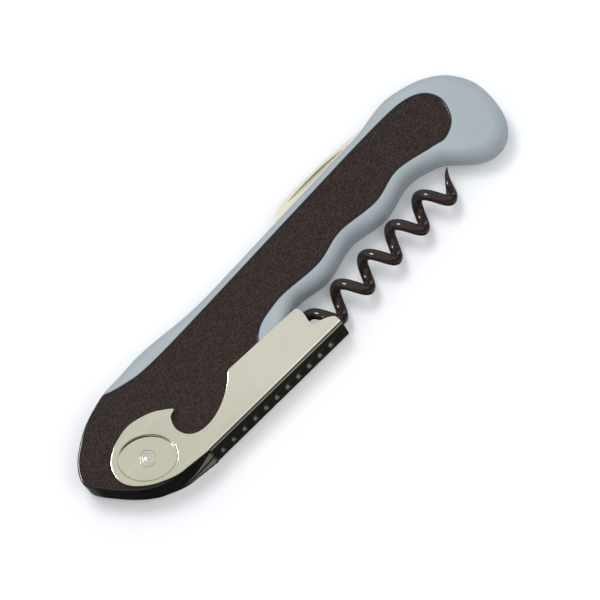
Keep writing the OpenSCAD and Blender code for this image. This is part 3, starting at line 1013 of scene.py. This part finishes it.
@dataclass
class Worm:
    """The worm: a coated wire with an eye, a short shank and a right-hand helix to a point."""

    bench: Bench
    mid: float = 5.45
    wire: float = 2.4
    outside: float = 8.0
    pitch: float = 8.65
    pin_x: float = 38.5
    end_x: float = 89.5
    eye: float = 3.3
    shank: float = 4.9
    ease: float = 4.0
    slack: float = 0.16
    hump: float = 0.5
    hump_length: float = 6.0
    axis: float = -5.935
    rise: float = 0.0085

    def path(self) -> tuple[Array, Array]:
        """The wire's middle line and its radius.

        The eye is a level circle round the pin. The helix at distance s from its start is at
        x = start + s, y = axis + rise s + r cos(a) + h, z = mid + r sin(a). The angle a grows
        slowly over the first ease millimetres, then by a full turn a pitch, and a little slower
        near the tip. The hump h falls to nothing as the square of (1 - s / hump_length). The
        shank between them is a Hermite cubic that leaves the eye and meets the helix along X.

        Returns:
            The line's points and the wire's radius at each of them.
        """
        start = self.pin_x + self.shank
        r = (self.outside - self.wire) / 2
        run = self.end_x - start
        tail = 0.75 * self.pitch
        s = np.linspace(0, run, int(run / self.pitch * 44))
        turns = np.where(s < self.ease, s**2 / (2 * self.ease), s - self.ease / 2)
        turns = turns - self.slack / tail * np.maximum(s - run + tail, 0) ** 2
        a = 2 * np.pi / self.pitch * turns
        axis = self.axis + self.rise * s
        hump = self.hump * np.maximum(1 - s / self.hump_length, 0) ** 2
        helix = np.column_stack([start + s, axis + r * np.cos(a) + hump, self.mid + r * np.sin(a)])
        b = np.radians(np.arange(-370, -89, 8))
        ring = np.column_stack([self.pin_x + self.eye * np.cos(b), self.eye * np.sin(b),
                                np.full(len(b), self.mid)])
        t = np.linspace(0, 1, 10)[1:-1, None]
        pull = np.array([self.shank, 0.0, 0.0])
        shank = ((2 * t**3 - 3 * t**2 + 1) * ring[-1] + (t**3 - 2 * t**2 + t) * pull
                 + (3 * t**2 - 2 * t**3) * helix[0] + (t**3 - t**2) * pull)
        left = np.minimum((run - s) / (self.pitch * 0.4), 1)
        taper = np.maximum(np.sqrt(left) * (0.45 + 0.55 * left), 0.04)
        line = np.vstack([ring, shank, helix])
        radii = np.concatenate([np.ones(len(ring) + len(shank)), taper]) * self.wire / 2
        return line, radii

    def build(self) -> None:
        """Makes the wire."""
        line, radii = self.path()
        piece = swept("worm_wire", line, radii)
        self.bench.seat(piece, CoatedWire(), "worm", "worm", "coated_wire", 60)


# The foil knife


@dataclass
class Knife:
    """The foil knife: a flat blade with a ground edge and a nail nick."""

    bench: Bench
    mid: float = 5.45
    x: float = 93.8
    y: float = 10.0
    length: float = 39.8
    thick: float = 1.6
    rise: float = 8.6
    tang: float = 3.3
    hole: float = 1.55
    grind: tuple[float, float, float] = (-1.3, 2.6, 0.1)

    def outline(self) -> Array:
        """The folded blade's outline, in the drawing's frame, pointing back towards the tail."""
        n, r, g = self.length, self.rise, self.tang
        shape = curve([[0.2, g], [-3.5, g + 1.6], [-8, r - 2.4], [-13.5, r - 1.3], [-24, r - 0.25],
                       [6.6 - n, r], [3.6 - n, r - 0.6], [1.6 - n, r - 2], [0.4 - n, r - 4],
                       [-n, r - 6.2], [1.3 - n, 0.9], [5 - n, -0.2], [10 - n, -1], [-14, -1],
                       [-6, -1], [-3.2, -0.8]])
        return shape + [self.x, self.y]

    def wedge(self, side: int) -> bpy.types.Object:
        """The metal ground away on one side of the edge: a long slope from flat to edge.

        Args:
            side: 1 for the upper side, -1 for the lower.

        Returns:
            The solid to take away.
        """
        half = self.thick / 2
        low, high, edge = self.y + self.grind[0], self.y + self.grind[1], self.grind[2]
        section = np.array([[low, edge], [high, half], [high, half + 2], [low, half + 2]])
        x0, x1 = self.x - self.length - 2, self.x - 7.0
        rings = []
        for x, lift in ((x0, 0.0), (x1 - 3, 0.0), (x1, 1.5)):
            ring = np.column_stack([np.full(4, x), section[:, 0], section[:, 1] + lift])
            rings.append(ring * [1, 1, side] + [0, 0, self.mid])
        rings = np.stack(rings)
        return stack("wedge", rings[:, ::-1] if side < 0 else rings)

    def nick(self) -> bpy.types.Object:
        """The nail nick: a long leaf with a steep upper wall and a floor that rises below it.

        At the share t of its length its middle is m - 0.95 t^2 above the pivot and its width
        follows w = sin(pi t)^0.8.
        """
        t = np.linspace(0.02, 0.98, 21)
        w = np.sin(np.pi * t) ** 0.8
        x = self.x + 6.8 - self.length + 16.8 * t
        middle = self.y + self.rise - 0.85 - 0.95 * t**2
        face = self.mid + self.thick / 2
        x = np.concatenate([x, x[::-1]])
        rim_y = np.concatenate([middle - 0.75 * w, (middle + 0.4 * w)[::-1]])
        floor_y = np.concatenate([middle - 0.75 * w, (middle - 0.02 * w)[::-1]])
        floor_z = np.concatenate([face - 0.02 * w, (face - 0.42 * w)[::-1]])
        rings = [np.column_stack([x, floor_y, floor_z]),
                 np.column_stack([x, rim_y, np.full(len(x), face)]),
                 np.column_stack([x, rim_y, np.full(len(x), face + 1)])]
        return stack("nick", np.stack(rings))

    def build(self) -> None:
        """Makes the blade with its edge, nick and pivot hole."""
        half = self.thick / 2
        piece = prism("foil_blade", self.outline(), self.mid - half, self.mid + half)
        disc = ellipse(self.tang, self.tang, 0, 72) + [self.x, self.y]
        combine(piece, prism("tang", disc, self.mid - half, self.mid + half), Cut.JOIN)
        for side in (1, -1):
            combine(piece, self.wedge(side), Cut.TAKE)
        combine(piece, self.nick(), Cut.TAKE)
        hole = ellipse(self.hole, self.hole, 0, 48) + [self.x, self.y]
        combine(piece, prism("hole", hole, self.mid - 3, self.mid + 3), Cut.TAKE)
        self.bench.seat(piece, GroundSteel(), "knife", "knife_blade", "blade_steel", 30)


# The hidden pieces, the stage and the camera


@dataclass(frozen=True)
class Inside:
    """The hidden pieces, which keep the model's own shapes and get their finishes."""

    satin: tuple[str, ...] = ("front_liner", "back_liner", "backspring", "frame_rivets",
                              "worm_sleeve", "worm_pin", "knife_pin")
    plastic: tuple[str, ...] = ("tail_spacer", "head_spacer")
    bronze: tuple[str, ...] = ("knife_washers",)

    def build(self) -> None:
        """Gives each hidden piece its material."""
        steel = GroundSteel("frame_steel", (0.56, 0.56, 0.54), 0.3)
        washer = GroundSteel("washer_bronze", (0.55, 0.38, 0.17), 0.34, (1.0, 1.0, 1.0))
        dull = Moulding("dull_plastic", (0.012, 0.012, 0.011), 0.4)
        for names, finish in ((self.satin, steel), (self.plastic, dull), (self.bronze, washer)):
            for name in names:
                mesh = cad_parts[name].data
                mesh.materials.clear()
                mesh.materials.append(finish.material())
                log.info("%s: %s", name, finish.name)


@dataclass(frozen=True)
class Studio:
    """A pale floor, a banded surround, three soft lamps and a long-lens camera."""

    pivot: Vector
    tilt: float = 18.0
    lean: float = 5.0
    roll: float = 47.0
    view_width: float = 0.12712
    lens: float = 300.0
    sensor: float = 36.0
    aim_height: float = 0.0104
    lamp_far: float = 0.7
    centre: tuple[float, float] = (0.04652, -0.00065)

    def axes(self) -> tuple[Vector, Vector, Vector]:
        """The camera's right, up and back directions, from its tilt, lean and roll."""
        g, t, b = (math.radians(v) for v in (self.tilt, self.lean, self.roll))
        back = Vector((-math.sin(t) * math.cos(g), -math.sin(g), math.cos(g) * math.cos(t)))
        back.normalize()
        x = (Vector((1, 0, 0)) - back * back.x).normalized()
        y = back.cross(x)
        right = x * math.cos(b) - y * math.sin(b)
        return right, back.cross(right), back

    def camera(self) -> None:
        """The camera at its distance, square to the back direction."""
        right, up, back = self.axes()
        b = math.radians(self.roll)
        x = right * math.cos(b) + up * math.sin(b)
        y = up * math.cos(b) - right * math.sin(b)
        aim = Vector((self.pivot.x, self.pivot.y, self.aim_height))
        aim = aim + x * self.centre[0] + y * self.centre[1]
        data = bpy.data.cameras.new("camera")
        data.lens, data.sensor_width = self.lens, self.sensor
        data.clip_start, data.clip_end = 0.05, 20.0
        camera = bpy.data.objects.new("camera", data)
        bpy.context.scene.collection.objects.link(camera)
        far = self.view_width * self.lens / self.sensor
        turn = Matrix((right, up, back)).transposed().to_4x4()
        camera.matrix_world = Matrix.Translation(aim + back * far) @ turn
        bpy.context.scene.camera = camera

    def lamp(self, name: str, towards: Vector, size: float, power: float) -> bpy.types.Object:
        """A square soft light aimed at the object.

        Args:
            name: the light's name.
            towards: the direction from the object to the light.
            size: its side in metres.
            power: its power in watts.

        Returns:
            The light.
        """
        data = bpy.data.lights.new(name, "AREA")
        data.energy, data.size = power, size
        lamp = bpy.data.objects.new(name, data)
        bpy.context.scene.collection.objects.link(lamp)
        aim = towards.normalized()
        turn = aim.to_track_quat("Z", "Y").to_matrix().to_4x4()
        lamp.matrix_world = Matrix.Translation(aim * self.lamp_far) @ turn
        return lamp

    def floor(self) -> None:
        """The pale floor under the object."""
        half = 2.0
        plate = solid("floor", np.array([[-half, -half, 0], [half, -half, 0], [half, half, 0],
                                         [-half, half, 0]]), [[0, 1, 2, 3]])
        made = bpy.data.materials.new("pale_floor")
        made.use_nodes = True
        shader = made.node_tree.nodes["Principled BSDF"]
        graph = Graph(made.node_tree, shader)
        tone = graph.blend(graph.noise(6, 2), (0.865, 0.88, 0.9), (0.885, 0.895, 0.91))
        graph.set(Base_Color=tone, Roughness=0.9, Specular_IOR_Level=0.1,
                  Emission_Color=(0.97, 0.98, 1.0), Emission_Strength=0.04)
        plate.data.materials.append(made)
        plate.visible_glossy = False

    def sky(self) -> None:
        """A surround in bands along a leaning axis: bright above, dark below with a grey band."""
        world = bpy.data.worlds.new("surround")
        bpy.context.scene.world = world
        world.use_nodes = True
        tree = world.node_tree
        back = tree.nodes["Background"]
        spot = tree.nodes.new("ShaderNodeTexCoord")
        lean = tree.nodes.new("ShaderNodeVectorMath")
        lean.operation = "DOT_PRODUCT"
        lean.inputs[1].default_value = (0.3, 0.36, 0.8)
        ramp = tree.nodes.new("ShaderNodeValToRGB")
        scale = tree.nodes.new("ShaderNodeMapRange")
        scale.inputs["From Min"].default_value = -1.0
        tree.links.new(spot.outputs["Generated"], lean.inputs[0])
        tree.links.new(lean.outputs["Value"], scale.inputs["Value"])
        tree.links.new(scale.outputs["Result"], ramp.inputs["Fac"])
        stops = ((0.0, 0.012), (0.09, 0.016), (0.13, 0.26), (0.22, 0.36), (0.3, 0.02),
                 (0.44, 0.03), (0.48, 0.75), (0.6, 0.9), (0.8, 0.72), (1.0, 0.76))
        while len(ramp.color_ramp.elements) < len(stops):
            ramp.color_ramp.elements.new(0.5)
        for stop, (at, value) in zip(ramp.color_ramp.elements, stops):
            stop.position, stop.color = at, (value * 0.985, value * 0.99, value, 1.0)
        tree.links.new(ramp.outputs["Color"], back.inputs["Color"])
        back.inputs["Strength"].default_value = 1.0

    def build(self) -> None:
        """Sets the stage."""
        self.camera()
        self.floor()
        self.sky()
        key = self.lamp("key", Vector((0.08, 0.27, 0.96)), 0.22, 1.6)
        key.visible_glossy = False
        fill = self.lamp("fill", Vector((0.1, -0.4, 0.91)), 0.3, 0.85)
        fill.visible_glossy = False
        glint = self.lamp("glint", Vector((-0.3, 0.5, 0.8)), 0.2, 4.2)
        glint.visible_diffuse = False
        bpy.context.scene.view_settings.view_transform = "Standard"


def main() -> None:
    """Builds every sub-assembly in order."""
    logging.basicConfig(level=logging.INFO, format="%(name)s %(message)s")
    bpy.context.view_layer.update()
    low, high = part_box("lever_sleeve")
    bench = Bench((low + high) / 2)
    Studio(bench.pivot).build()
    Handle(bench).build()
    Lever(bench).build()
    Worm(bench).build()
    Knife(bench).build()
    Inside().build()


if __name__ == "__main__":
    main()
